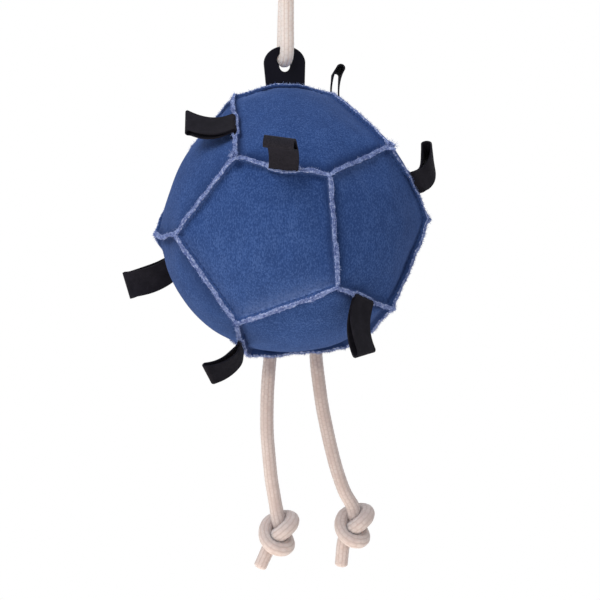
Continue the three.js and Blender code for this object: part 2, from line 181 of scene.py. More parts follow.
# nap and fibre: a soft blotch mask and a fine height, used by suede, raw edges, webbing and rope
def makeFibreGroup():
    group = bpy.data.node_groups.new("fibreGrain", "ShaderNodeTree")
    group.interface.new_socket("Place", in_out="INPUT", socket_type="NodeSocketVector")
    for name in ("Blotch Scale", "Fibre Scale"):
        group.interface.new_socket(name, in_out="INPUT", socket_type="NodeSocketFloat")
    for name in ("Blotch", "Fibre"):
        group.interface.new_socket(name, in_out="OUTPUT", socket_type="NodeSocketFloat")
    given = group.nodes.new("NodeGroupInput").outputs
    result = group.nodes.new("NodeGroupOutput")
    blotch = noiseNode(group, given["Place"], given["Blotch Scale"], 4.0, 0.6)
    fibre = noiseNode(group, given["Place"], given["Fibre Scale"], 3.0, 0.65)
    group.links.new(blotch, result.inputs["Blotch"])
    group.links.new(fibre, result.inputs["Fibre"])
    return group


fibreGroup = makeFibreGroup()


def fibreNode(tree, place, blotchScale, fibreScale):
    made = addNode(tree, "ShaderNodeGroup", node_tree=fibreGroup)
    tree.links.new(place, made.inputs["Place"])
    made.inputs["Blotch Scale"].default_value = blotchScale
    made.inputs["Fibre Scale"].default_value = fibreScale
    return made.outputs["Blotch"], made.outputs["Fibre"]


def layerColours(tree, colour, layers):
    for mask, fromRange, toRange, added in layers:
        colour = mixColour(tree, rangeNode(tree, mask, *fromRange, *toRange), colour, added)
    return colour


def uvWaves(tree, *waveCounts):
    axes = addNode(tree, "ShaderNodeSeparateXYZ", {0: addNode(tree, "ShaderNodeUVMap").outputs[0]}).outputs
    turns = [mathNode(tree, "MULTIPLY", axes[k], 2 * math.pi * count) for k, count in enumerate(waveCounts)]
    return [mathNode(tree, "SINE", turn) for turn in turns]


fullMask = (0.0, 1.0)

suedeLook = {
    "deep": (0.0190, 0.0505, 0.174, 1),
    "body": (0.0315, 0.0770, 0.242, 1),
    "rubbed": (0.0620, 0.1220, 0.320, 1),
    # painted shade: the colour the cover darkens to beside the ridges and on their flanks
    "seam": (0.0110, 0.0290, 0.1050, 1),
    "rawEdge": (0.3700, 0.4600, 0.740, 1),
    "rawShade": (0.0850, 0.1250, 0.330, 1),
    "rawTip": (0.7000, 0.6600, 0.740, 1),
    # lint, partly a painted highlight
    "lintAndHighlight": (0.1500, 0.2300, 0.480, 1),
    "blotchScale": 52.0,
    "napScale": 1500.0,
    "comb": (1.0, 1.0, 0.5),   # the nap is brushed up and down
    "brushScale": 120.0,
    "mottleScale": 1150.0,
    "fleckScale": 620.0,
    "raggedness": 0.7,
    "mottleDepth": 0.7,
}


def makeSuede():
    look = suedeLook
    material, tree, shader, place = startMaterial(
        "blueSuede", Roughness=0.95, Specular_IOR_Level=0.1,
        Sheen_Weight=0.02, Sheen_Roughness=0.6, Sheen_Tint=(1, 0.95, 0.9, 1))
    blotch, nap = fibreNode(tree, place, look["blotchScale"], look["napScale"])
    combed = addNode(tree, "ShaderNodeMapping", {"Vector": place, "Scale": look["comb"]}).outputs[0]
    brushed = noiseNode(tree, combed, look["brushScale"], 4.0, 0.7)
    mottle = noiseNode(tree, combed, look["mottleScale"], 2.0, 0.65)
    flecks = noiseNode(tree, place, look["fleckScale"], 3.0, 0.75)
    body = layerColours(tree, look["deep"], [
        (blotch, (0.24, 0.66), (0.15, 1.0), look["body"]),
        (brushed, (0.46, 0.72), (0.0, 0.46), look["rubbed"]),
        (brushed, (0.50, 0.28), (0.0, 0.55), look["deep"]),
        (mottle, (0.56, 0.36), (0.0, 0.95), look["deep"]),
        (mottle, (0.48, 0.68), (0.0, 0.72), look["rubbed"]),
        (nap, (0.46, 0.80), (0.0, 0.45), look["rubbed"]),
    ])
    # lint near the seams, partly a painted highlight on the upper sides that face the lamps
    lintHighlightShare = rangeNode(tree, flecks, 0.30, 0.66, 0.2, 1.0)
    lintHighlightShare = mathNode(tree, "MULTIPLY", attributeNode(tree, "seamNear"), lintHighlightShare)
    body = mixColour(tree, lintHighlightShare, body, look["lintAndHighlight"])
    # painted shade beside the seams and on the ridges' flanks
    body = layerColours(tree, body, [(attributeNode(tree, "seamShade"), fullMask, (0.0, 0.88), look["seam"])])
    raw = layerColours(tree, look["rawShade"], [
        (flecks, (0.36, 0.64), fullMask, look["rawEdge"]),
        (flecks, (0.58, 0.72), (0.0, 0.7), look["rawTip"]),
    ])
    fringe = mathNode(tree, "MULTIPLY", flecks, look["raggedness"])
    ragged = mathNode(tree, "ADD", attributeNode(tree, "rawEdge"), fringe)
    colour = mixColour(tree, rangeNode(tree, ragged, 1.02, 1.26), body, raw)
    height = mathNode(tree, "ADD", nap, mathNode(tree, "MULTIPLY", mottle, look["mottleDepth"]))
    paint(tree, shader, colour, height, 0.4, 0.0004)
    return material


# plain fibres: scales of blotch and fibre, two tones, where they blend, strength and height of the bump
plainLooks = {
    "frayedFibre": {"roughness": 0.95, "specular": 0.1, "scales": (240.0, 900.0), "blend": (0.36, 0.66),
                    "tones": ((0.100, 0.140, 0.360, 1), (0.380, 0.470, 0.740, 1)), "bump": (0.2, 0.0002)},
    "seamThread": {"roughness": 0.8, "specular": 0.2, "scales": (300.0, 2400.0), "blend": (0.35, 0.7),
                   "tones": ((0.014, 0.034, 0.120, 1), (0.026, 0.058, 0.180, 1)), "bump": (0.4, 0.0002)},
    "fibreFilling": {"roughness": 0.95, "specular": 0.5, "scales": (90.0, 700.0), "blend": (0.3, 0.7),
                     "tones": ((0.62, 0.59, 0.53, 1), (0.86, 0.84, 0.79, 1)), "bump": (0.6, 0.001)},
}


def makePlain(name):
    look = plainLooks[name]
    material, tree, shader, place = startMaterial(
        name, Roughness=look["roughness"], Specular_IOR_Level=look["specular"])
    blotch, fibre = fibreNode(tree, place, *look["scales"])
    colour = mixColour(tree, rangeNode(tree, blotch, *look["blend"]), *look["tones"])
    paint(tree, shader, colour, fibre, *look["bump"])
    return material


ropeLook = {"scales": (120.0, 1500.0), "yarnsPerStrand": 3, "yarnDepth": 0.35, "yarnShade": 0.94}


def makeRope(name, worn, clean, grooveShade):
    look = ropeLook
    material, tree, shader, place = startMaterial(
        name, Roughness=0.88, Specular_IOR_Level=0.2, Sheen_Weight=0.1, Sheen_Roughness=0.5,
        Subsurface_Weight=0.9, Subsurface_Radius=(1.0, 0.95, 0.9), Subsurface_Scale=0.012)
    blotch, fibre = fibreNode(tree, place, *look["scales"])
    rightYarn, leftYarn = uvWaves(tree, look["yarnsPerStrand"], look["yarnsPerStrand"])
    over = attributeNode(tree, "rightOver")
    yarn = addNode(tree, "ShaderNodeMix", {0: over, 2: leftYarn, 3: rightYarn}).outputs[0]
    base = mixColour(tree, rangeNode(tree, blotch, 0.35, 0.65), worn, clean)
    # painted shade in the grooves between stitches
    base = mixColour(tree, rangeNode(tree, attributeNode(tree, "crown"), 0.10, 0.70), grooveShade, base)
    shade = rangeNode(tree, yarn, -1.0, 0.4, look["yarnShade"], 1.0)
    inputs = {0: 1.0, 6: base, 7: shade}
    shaded = addNode(tree, "ShaderNodeMix", inputs, data_type="RGBA", blend_type="MULTIPLY")
    height = mathNode(tree, "ADD", mathNode(tree, "MULTIPLY", yarn, look["yarnDepth"]), fibre)
    paint(tree, shader, shaded.outputs[2], height, 0.45, 0.0003)
    return material


webbingLook = {
    "scales": (160.0, 1400.0),
    "warpPitch": 0.0011,
    "weftPitch": 0.0014,
    "weaveDepth": 0.5,
    "dark": (0.0056, 0.0051, 0.0086, 1),
    "body": (0.0108, 0.0098, 0.0150, 1),
    # painted highlight on the weave's crests
    "thread": (0.0196, 0.0184, 0.0250, 1),
    # wear and painted highlight: a lighter tone for a loop that faces up to the lamps
    "worn": (0.0400, 0.0375, 0.0480, 1),
}


def makeWebbing():
    look = webbingLook
    material, tree, shader, place = startMaterial("blackWebbing", Roughness=0.8, Specular_IOR_Level=0.11)
    blotch, fibre = fibreNode(tree, place, *look["scales"])
    weave = mathNode(tree, "MULTIPLY", *uvWaves(tree, 1 / look["warpPitch"], 1 / look["weftPitch"]))
    colour = layerColours(tree, look["dark"], [
        (blotch, (0.35, 0.7), fullMask, look["body"]),
        # the weave's crests take the painted highlight
        (weave, (0.1, 1.0), (0.0, 0.5), look["thread"]),
    ])
    # worn webbing, partly a painted highlight, as strong as each loop's worn value
    rubbed = rangeNode(tree, fibre, 0.36, 0.64, 0.2, 1.4)
    rubbed = mathNode(tree, "MULTIPLY", attributeNode(tree, "worn"), rubbed)
    colour = mixColour(tree, rubbed, colour, look["worn"])
    height = mathNode(tree, "ADD", mathNode(tree, "MULTIPLY", weave, look["weaveDepth"]), fibre)
    paint(tree, shader, colour, height, 0.45, 0.0003)
    return material


leatherLook = {
    "scales": (90.0, 1300.0),
    "grainScale": 900.0,
    "fibreDepth": 0.4,
    "tones": ((0.0039, 0.0039, 0.0086, 1), (0.0072, 0.0070, 0.0128, 1)),
}


def makeLeather():
    look = leatherLook
    material, tree, shader, place = startMaterial("blackLeather", Roughness=0.62, Specular_IOR_Level=0.09)
    blotch, fibre = fibreNode(tree, place, *look["scales"])
    grain = addNode(tree, "ShaderNodeTexVoronoi", {"Vector": place, "Scale": look["grainScale"]})
    colour = mixColour(tree, rangeNode(tree, blotch, 0.35, 0.7), *look["tones"])
    tree.links.new(rangeNode(tree, blotch, 0.3, 0.7, 0.52, 0.72), shader.inputs["Roughness"])
    fine = mathNode(tree, "MULTIPLY", fibre, look["fibreDepth"])
    height = mathNode(tree, "ADD", grain.outputs["Distance"], fine)
    paint(tree, shader, colour, height, 0.3, 0.0003)
    return material


suede = makeSuede()
fray, thread, filling = [makePlain(name) for name in plainLooks]
# worn and clean tones, then the painted shade in the grooves
legRope = makeRope("cottonBraid", (0.590, 0.498, 0.475, 1), (0.655, 0.570, 0.545, 1), (0.540, 0.452, 0.428, 1))
# a paler rope for the hanger than for the legs
hangRope = makeRope("paleBraid", (0.935, 0.775, 0.720, 1), (0.965, 0.825, 0.775, 1), (0.790, 0.645, 0.585, 1))
webbing = makeWebbing()
leather = makeLeather()
print("materials made")


def addPiece(name, mesh, material):
    mesh.materials.clear()
    mesh.materials.append(material)
    piece = bpy.data.objects.new(name, mesh)
    scene.collection.objects.link(piece)
    return piece


def finishedMesh(source):
    bpy.context.view_layer.update()
    return bpy.data.meshes.new_from_object(source.evaluated_get(bpy.context.evaluated_depsgraph_get()))


def addWall(piece, thickness, offset, sharpAngle):
    wall = piece.modifiers.new("wall", "SOLIDIFY")
    wall.thickness = thickness
    wall.offset = offset
    wall.use_even_offset = False
    finished = finishedMesh(piece)
    piece.modifiers.clear()
    piece.data = finished
    smoothFaces(finished, sharpAngle)


def meshFrom(bm, name):
    mesh = bpy.data.meshes.new(name)
    bm.to_mesh(mesh)
    bm.free()
    return mesh


def smoothFaces(mesh, sharpAngle=None):
    mesh.shade_smooth()
    if sharpAngle:
        mesh.set_sharp_from_angle(angle=math.radians(sharpAngle))


# ropes: a braided tube along a smooth route
ropeForm = {
    "radius": 0.005,
    "knotRadius": 0.0057,  # the strands of a drawn knot press flat against each other
    "tuckedRadius": 0.0016,  # the hanging rope's end is pinched in its knot
    "tuckLength": 0.008,
    "taper": 0.8,  # route points over which the squeeze starts
    "ringStep": 0.0006,
    "sides": 60,
    "columns": 10,  # columns of stitches around the rope
    "stitch": 0.0036,
    "relief": 0.00024,
    "meanCrown": 0.7,  # a stitch's mean height, as a share of the relief
    "columnRound": 0.6,
    "stitchRound": 0.35,
    "endRound": 0.0022,
}

# a knot's strand, millimetres from its middle
knotPoints = [
    (-1.2, 0.6, 14), (0.6, 0.2, 7), (2.6, 4.2, 0.5), (4.8, 3.7, -5.5), (6.4, -2.2, -9.5), (2.7, -8.8, -10.1),
    (-3, -10, -8.6), (-8.3, -5.5, -4.6), (-9.8, 1.4, 0.6), (-7, 6.6, 5.2), (-0.6, 8.8, 7.6), (6, 7.2, 9.2),
    (9.6, 1.2, 9.6), (8.6, -6, 7.6), (4.4, -9.1, 4.2), (0.2, -7.4, 0.4), (-2.5, -0.3, -3.6), (-4.6, 1.8, -8),
    (-7.6, 2.6, -13),
]
millimetre = 0.001


def knotAt(centre, facing):
    turn = Matrix.Rotation(math.radians(facing), 3, "Z")
    return [turn @ Vector(point) + Vector(centre) for point in knotPoints]


def makeRoute(start, lead, knot, tail, tucked=False):
    points = [Vector(point) for point in lead] + knot + [Vector(point) for point in tail]
    knotSpan = (len(lead), len(lead) + len(knot) - 1)
    return {"points": [start + point * millimetre for point in points], "knotSpan": knotSpan, "tucked": tucked}


def curvePoint(before, start, end, after, share):
    first = (before - start).length ** 0.5
    middle = (start - end).length ** 0.5
    last = (end - after).length ** 0.5
    leave = ((start - before) / first - (end - before) / (first + middle) + (end - start) / middle) * middle
    arrive = ((end - start) / middle - (after - start) / (middle + last) + (after - end) / last) * middle
    square = (end - start) * 3 - leave * 2 - arrive
    cube = (start - end) * 2 + leave + arrive
    return start + leave * share + square * share ** 2 + cube * share ** 3


def evenPath(points, step):
    perSpan = 40
    ends = [points[0] * 2 - points[1]] + points + [points[-1] * 2 - points[-2]]

    def pointAt(place):
        span = min(int(place), len(points) - 2)
        return curvePoint(*ends[span:span + 4], place - span)

    places = [k / perSpan for k in range((len(points) - 1) * perSpan + 1)]
    dense = [pointAt(place) for place in places]
    runs = [0.0]
    for a, b in zip(dense, dense[1:]):
        runs.append(runs[-1] + (b - a).length)
    count = round(runs[-1] / step)
    path = []
    at = 0
    for k in range(count + 1):
        run = runs[-1] * k / count
        while at < len(runs) - 2 and runs[at + 1] < run:
            at += 1
        place = lerp(places[at], places[at + 1], (run - runs[at]) / (runs[at + 1] - runs[at]))
        path.append((pointAt(place), place))
    return path, runs[-1]


def ropeRadius(route, place, run):
    form = ropeForm
    radius = form["radius"]
    if route["knotSpan"]:
        low, high = route["knotSpan"]
        into = smoothStep(low - form["taper"], low + form["taper"], place)
        outOf = 1 - smoothStep(high - form["taper"], high + form["taper"], place)
        radius = lerp(radius, form["knotRadius"], min(into, outOf))
    if route["tucked"]:
        radius = lerp(form["tuckedRadius"], radius, smoothStep(0, form["tuckLength"], run))
    return radius


def braidHeight(around, run):
    column = math.floor(around)
    stitch = run + 0.5 * (column % 2)
    across, along = abs(math.sin(math.pi * around)), abs(math.sin(math.pi * stitch))
    return across ** ropeForm["columnRound"] * along ** ropeForm["stitchRound"], float(column % 2)


def ropeMesh(name, route):
    form = ropeForm
    sides, columns = form["sides"], form["columns"]
    path, length = evenPath(route["points"], form["ringStep"])
    last = len(path) - 1
    points, crowns, overs, faces, strandPlaces = [], [], [], [], []
    tangent = (path[1][0] - path[0][0]).normalized()
    normal = tangent.orthogonal().normalized()
    for k, (centre, place) in enumerate(path):
        nextTangent = (path[min(k + 1, last)][0] - path[max(k - 1, 0)][0]).normalized()
        normal = tangent.rotation_difference(nextTangent) @ normal
        tangent = nextTangent
        binormal = tangent.cross(normal)
        run = length * k / last
        toEnd = 1 - min(1, (length - run) / form["endRound"])
        radius = ropeRadius(route, place, run) * math.sqrt(max(0.05, 1 - toEnd ** 2))
        for side in range(sides):
            share = side / sides
            crown, over = braidHeight(columns * share, run / form["stitch"])
            reach = radius + form["relief"] * (crown - form["meanCrown"]) * radius / form["radius"]
            angle = 2 * math.pi * share
            points.append(centre + normal * reach * math.cos(angle) + binormal * reach * math.sin(angle))
            crowns.append(crown)
            overs.append(over)
    for k in range(last):
        runs = [length * j / last / form["stitch"] for j in (k, k + 1)]
        for side in range(sides):
            after = (side + 1) % sides
            faces.append((k * sides + side, k * sides + after, (k + 1) * sides + after, (k + 1) * sides + side))
            for turn, run in ((side, runs[0]), (side + 1, runs[0]), (side + 1, runs[1]), (side, runs[1])):
                around = columns * turn / sides
                strandPlaces.append((around + run, around - run))
    faces.append(tuple(reversed(range(sides))))
    faces.append(tuple(range(last * sides, (last + 1) * sides)))
    strandPlaces += [(0, 0)] * (2 * sides)
    mesh = bpy.data.meshes.new(name)
    mesh.from_pydata(points, [], faces)
    for attribute, values in (("crown", crowns), ("rightOver", overs)):
        mesh.attributes.new(attribute, "FLOAT", "POINT").data.foreach_set("value", values)
    uv = mesh.uv_layers.new(name="strands")
    uv.data.foreach_set("uv", [value for pair in strandPlaces for value in pair])
    smoothFaces(mesh)
    return mesh, [tuple(centre) for centre, place in path], length


# millimetres from the slot
hangLead = [
    (1.2, 1, 52.8), (1.4, 2.6, 46), (1.8, 5.4, 34), (1.9, 7, 21), (1.6, 7.4, 9), (0.4, 5.3, 2.2), (0, 0, 0),
    (-0.2, -5.4, 2.2), (-0.3, -7.6, 9), (-0.6, -8.4, 21), (-1.3, -10.6, 34), (-2.3, -14, 49), (-3, -16.8, 64),
    (-3, -17.4, 80), (-2.4, -16.8, 92), (-0.8, -12.4, 103), (1.4, -1.2, 108.6), (3.2, 9.6, 103), (4.1, 14, 91),
]
hangRoute = makeRoute(pivot, hangLead, knotAt((4.6, 9.5, 68), 0), [(-5, 18.5, 53), (-6, 27, 54)], tucked=True)


# the cover's form: a dodecahedron blown up nearly to a ball, drawn up where it hangs
def fade(direction, middle, spread):
    return math.exp(-(math.degrees(direction.angle(middle)) / spread) ** 2)


def coverRadius(direction):
    form = ballForm
    cosine = max(normal.dot(direction) for normal in panelNormals.values())
    middleShare = (1 / cornerCosine - 1 / cosine) / (1 / cornerCosine - 1)
    pull = 0
    if direction.z > 0:
        along = math.degrees(math.atan2(direction.x, direction.z)) / form["hangPullAlong"]
        across = math.degrees(math.atan2(direction.y, direction.z)) / form["hangPullAcross"]
        pull = form["hangPull"] * math.exp(-along ** 2 - across ** 2)
    swell = sum(height * fade(direction, middle, spread) for middle, height, spread in coverSwells)
    corner = max(cornerDirections, key=direction.dot)
    swell += form["cornerRise"] * fade(direction, corner, form["cornerSpread"])
    seam = max(seamMiddles, key=direction.dot)
    swell -= form["seamSag"] * fade(direction, seam, form["seamSpread"])
    return ballRadius - form["faceDip"] * middleShare + pull + swell


def makeCorners():
    corners = []
    for a in (-1, 1):
        for b in (-1, 1):
            corners += [Vector((a, b, c)) for c in (-1, 1)]
            corners.append(Vector((0, a * golden, b / golden)))
            corners.append(Vector((a / golden, 0, b * golden)))
            corners.append(Vector((a * golden, b / golden, 0)))
    return [corner.normalized() for corner in corners]


panelNormals = {
    "top_front": Vector((0, -1, golden)),
    "top_back": Vector((0, 1, golden)),
    "front_left": Vector((-1, -golden, 0)),
    "front_right": Vector((1, -golden, 0)),
    "back_left": Vector((-1, golden, 0)),
    "back_right": Vector((1, golden, 0)),
    "left_upper": Vector((-golden, 0, 1)),
    "left_lower": Vector((-golden, 0, -1)),
    "right_upper": Vector((golden, 0, 1)),
    "right_lower": Vector((golden, 0, -1)),
    "bottom_front": Vector((0, -1, -golden)),
    "bottom_back": Vector((0, 1, -golden)),
}
panelNormals = {name: normal.normalized() for name, normal in panelNormals.items()}


def middleOf(names):
    return sum((panelNormals[name] for name in names.split()), Vector()).normalized()


# where the filling pushes panels, seams and corners out of the even ball, or falls short:
# height in metres, spread in degrees
coverSwells = [
    (middleOf(names), height, spread) for names, height, spread in [
        ("left_upper", -0.0030, 30),
        ("left_lower", 0.0030, 30),
        ("right_upper", 0.0008, 30),
        ("right_lower", -0.0045, 30),
        ("front_right", -0.0016, 30),
        ("bottom_front", 0.0012, 30),
        ("bottom_back", -0.0015, 30),
        ("right_upper front_right", 0.0024, 12),
        ("left_upper top_back", 0.0026, 12),
        ("right_lower bottom_front", 0.0016, 12),
        ("left_lower bottom_back", -0.0018, 12),
        ("top_front top_back right_upper", -0.0016, 9),
        ("bottom_front bottom_back", -0.0026, 14),
        ("left_lower bottom_front bottom_back", -0.0022, 10),
    ]
]
cornerDirections = makeCorners()
cornerCosine = max(corner.dot(panelNormals["top_front"]) for corner in cornerDirections)


def makeSeamMiddles():
    tolerance = 0.01
    cornerAngle = 2 * math.asin(1 / (math.sqrt(3) * golden)) + tolerance
    middles = []
    for k, corner in enumerate(cornerDirections):
        near = [other for other in cornerDirections[k + 1:] if corner.angle(other) < cornerAngle]
        middles += [(corner + other).normalized() for other in near]
    return middles


seamMiddles = makeSeamMiddles()

# the soft cover has settled: seam corners and middles lie off the even pattern,
# by these shifts of their directions, which fade over so many degrees
settledPlaces = [
    ("left_upper top_front front_left", (0.0226, -0.0435, -0.0235), 24),
    ("top_front front_left front_right", (0.0017, 0.0246, 0.0587), 24),
    ("front_left front_right bottom_front", (0.0246, -0.0050, 0.0143), 24),
    ("left_upper left_lower front_left", (0.0041, -0.0096, 0.0261), 24),
    ("top_front right_upper front_right", (-0.0406, -0.0485, -0.0124), 24),
    ("right_lower front_right bottom_front", (-0.0500, -0.0520, 0.0020), 24),
    ("left_upper top_front top_back", (-0.0320, 0.0100, -0.0110), 14),
    ("left_upper left_lower", (-0.0023, -0.0038, -0.0275), 10),
    ("right_upper right_lower front_right", (0.0023, 0.0038, 0.0273), 24),
    ("left_upper left_lower back_left", (-0.0021, -0.0035, -0.0252), 24),
    ("bottom_front bottom_back right_lower", (0.0296, -0.0074, 0.0107), 10),
    ("top_front front_left", (-0.0029, -0.0049, -0.0355), 14),
    ("left_lower front_left", (0.0303, -0.0062, 0.0196), 14),
    ("front_left bottom_front", (0.0013, 0.0022, 0.0158), 14),
]
settleCosine = 0.5             # no shift reaches further than 60 degrees
settledMoves = [(middleOf(names), Vector(shift), spread) for names, shift, spread in settledPlaces]


def settle(point):
    direction = point.normalized()
    settled = direction.copy()
    for middle, shift, spread in settledMoves:
        if direction.dot(middle) > settleCosine:
            settled += shift * fade(direction, middle, spread)
    return settled.normalized() * point.length


def addOnBall(name, mesh, material):
    for vert in mesh.vertices:
        vert.co = settle(vert.co)
    mesh.transform(ballPlace)
    piece = addPiece(name, mesh, material)
    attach(piece, "ball")
    return piece


# rope legs
legForm = {
    "exit": {"left": -0.020, "right": 0.016},
    "knotFacing": -17,  # degrees about Z
    "ridgeHeight": 0.0045,  # bend line above the cover
    "seamDepth": 0.0014,  # the bottom seam lies this much deeper than the even ball at the legs
    "topAbove": 8.5,  # millimetres of rope above the bend line, inside the ball
    "sewnShare": 0.58,  # the seam squeezes the rope flat
    "sewnSpan": 0.012,
    "blendDrop": 0.034,  # the rope bends over this far below the seam
    "bightSteps": 6,
}


def legOutward(side):
    return Vector((legForm["exit"][side], 0, -ballRadius)).normalized()


def legPivot(side):
    drop = coverRadius(legOutward(side)) + legForm["seamDepth"] + legForm["ridgeHeight"]
    return ballPlace @ Vector((legForm["exit"][side], 0, -drop))


# millimetres from the bend line
legLeads = {
    "left": [(0, 0, 0), (-1, 0, -10), (-2, 0, -24), (-2.5, 0, -40),
             (-2.4, 0, -56), (-1.1, 0, -73), (0.8, 0, -92), (3.2, 0, -107)],
    "right": [(0, 0, 0), (0.8, 0, -10), (2.6, 0, -24), (5.1, 0, -41),
              (8.4, 0, -57), (12.3, 0, -74), (17.2, 0, -92), (23.4, 0, -109)],
}
legKnots = {"left": (6.4, -0.9, -133.5), "right": (31.2, -0.9, -135.5)}
legTails = {"left": [(-7.8, 4.4, -162.3)], "right": [(22.2, 4.4, -169.9)]}


def makeHangRope():
    mesh, path, length = ropeMesh("hanging_rope", hangRoute)
    piece = addPiece("hanging_rope", mesh, hangRope)
    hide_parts("hang_rope")
    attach(piece, "hanger")
    print("hanging rope", round(length, 3), "m")


def makeLeg(side):
    start = legPivot(side)
    lead = [(0, 0, legForm["topAbove"])] + legLeads[side]
    route = makeRoute(start, lead, knotAt(legKnots[side], legForm["knotFacing"]), legTails[side])
    mesh, path, length = ropeMesh(f"rope_leg_{side}", route)
    for vert in mesh.vertices:
        loose = smoothStep(0, legForm["sewnSpan"], start.z - vert.co.z)
        vert.co.y = start.y + (vert.co.y - start.y) * lerp(legForm["sewnShare"], 1, loose)
    piece = addPiece(f"rope_leg_{side}", mesh, legRope)
    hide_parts(f"leg_rope_{side}")
    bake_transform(piece)
    print("rope leg", side, round(length, 3), "m")


def makeBight():
    radius = ropeForm["radius"]
    left, right = legForm["exit"]["left"], legForm["exit"]["right"]
    low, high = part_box("leg_rope_bight")
    toBall = ballPlace.inverted()
    top = (toBall @ Vector((lerp(low[0], high[0], 0.5), 0, high[2]))).z - radius
    middle, halfSpan = (left + right) / 2, (right - left) / 2
    foot = -ballRadius - legForm["ridgeHeight"] + 2 * radius
    points = [Vector((left, 0, foot))]
    for k in range(legForm["bightSteps"] + 1):
        turn = math.pi * k / legForm["bightSteps"]
        points.append(Vector((middle - halfSpan * math.cos(turn), 0, top - halfSpan * (1 - math.sin(turn)))))
    points.append(Vector((right, 0, foot)))
    route = {"points": [ballPlace @ point for point in points], "knotSpan": None, "tucked": False}
    piece = addPiece("leg_bight", ropeMesh("leg_bight", route)[0], legRope)
    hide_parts("leg_rope_bight")
    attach(piece, "ball")


makeHangRope()
makeLeg("left")
makeLeg("right")
makeBight()


# places on the seams
def seamPlace(seam, offset):
    normalA, normalB = [panelNormals[name] for name in seam.split()]
    middle = (normalA + normalB).normalized()
    towardsA = (normalA - normalB).normalized()
    outward = Matrix.Rotation(-offset / ballRadius, 3, towardsA) @ middle
    return outward, towardsA.cross(outward)


loopForm = {
    "width": 0.020,
    "thickness": 0.0012,
    "ridgeHeight": 0.0045,
    "standoff": 0.001,
    "closesFrom": 0.2,  # shares of the length between which parted layers close again
    "closesTo": 0.75,
    "layerStep": 1.1,  # half thicknesses between the fold's middle and a layer's
    "turnSpan": 0.15,
    "shearSpan": 0.2,
    "tail": 0.0075,  # sewn length below the bend line
    "widthSteps": 12,
    "lengthSteps": 110,
    "bendLength": 0.006,
    "sharpAngle": 50,
    "spineSteps": 24,
}

# each loop's seam, shift along it in metres, lean and curl in degrees and sideways shear; then the strip's own
# twist, sway, sag, gap between its layers, cone, where along it they part, how far they close, and its length
loopColumns = ("seam", "offset", "lean", "curl", "shear", "twist", "sway", "sag", "gap", "cone", "opensFrom",
               "opensTo", "closes", "length")
loopRows = [
    ("left_upper top_front", 0.0019, 82, -11.6, -0.123,
     -14.3, 0.0155, 0.0019, 0.0024, -0.48, -0.05, 0.85, 0, 0.0343),
    ("top_back right_upper", 0.0103, 33, -30.2, 0.134,
     14.1, 0.0014, -0.0026, 0.0044, 0, -0.54, 0.29, 0, 0.0329),
    ("top_front front_left", -0.0015, 25.6, -47, -0.027,
     0, -0.0004, -0.0007, 0.0056, 0, 0.6, 0.98, 0, 0.0392),
    ("right_upper front_right", -0.0023, 50.8, 23.8, 0.233,
     14.1, -0.0101, -0.003, 0.007, -0.1, 0.22, 0.82, 0.31, 0.0266),
    ("left_lower back_left", 0.0001, 30.5, -27.5, 0.051,
     42.3, -0.0068, 0.001, 0.0057, 0.19, -0.19, 0.81, 0.15, 0.0367),
    ("left_lower bottom_front", -0.0001, -16.5, 55.7, 0.5,
     28, 0.0114, -0.0004, 0.0039, 0, 0.01, 0.4, 0.21, 0.0376),
    ("bottom_front front_right", -0.0051, 67, -37, -0.15,
     6.6, -0.0005, -0.0022, 0.0029, 0.65, 0.19, 0.93, 0, 0.039),
    ("back_right top_back", -0.004, 38, 16, 0.1, 12, 0, 0, 0.0034, 0, 0.15, 0.85, 0, 0.036),
    ("back_left back_right", 0.006, 30, 18, -0.15, -16, 0, 0, 0.0034, 0, 0.15, 0.85, 0, 0.036),
    ("right_lower bottom_back", -0.012, 6, 10, 0.9, 8, 0, 0, 0.0034, 0, 0.15, 0.85, 0, 0.036),
    ("bottom_back back_left", 0, 40, 16, -0.1, 18, 0, 0, 0.0034, 0, 0.15, 0.85, 0, 0.036),
]
# loop 3 is painted lighter where it faces up to the lamps: wear and a painted highlight
loopExtras = {2: {"twistPower": 3, "turn": 3.5}, 3: {"worn": 0.32}, 7: {"turn": 3.4, "slant": 0.0029}}
loopList = [
    {**dict(zip(loopColumns, row)), **loopExtras.get(number, {})} for number, row in enumerate(loopRows, 1)
]

# what passes out through each seam, and how far it parts the ridge: half width, half thickness, fade
guestForm = {"tab": (0.0145, 0.0016, 0.004), "loop": (0.0100, 0.0014, 0.004), "leg": (0.0006, 0.0030, 0.0075)}


def seamGuests():
    guests = {}

    def add(seam, outward, kind):
        guests.setdefault(frozenset(seam.split()), []).append((outward, *guestForm[kind]))

    add("top_front top_back", Vector((0, 0, 1)), "tab")
    for side in ("left", "right"):
        add("bottom_front bottom_back", legOutward(side), "leg")
    for spec in loopList:
        add(spec["seam"], seamPlace(spec["seam"], spec["offset"])[0], "loop")
    return guests


guestsAt = seamGuests()


def guestSpread(pair, direction):
    spread = 0
    for outward, halfWidth, halfThickness, fadeSpan in guestsAt.get(pair, ()):
        apart = (direction - outward).length * ballRadius
        spread = max(spread, halfThickness * (1 - smoothStep(halfWidth, halfWidth + fadeSpan, apart)))
    return spread


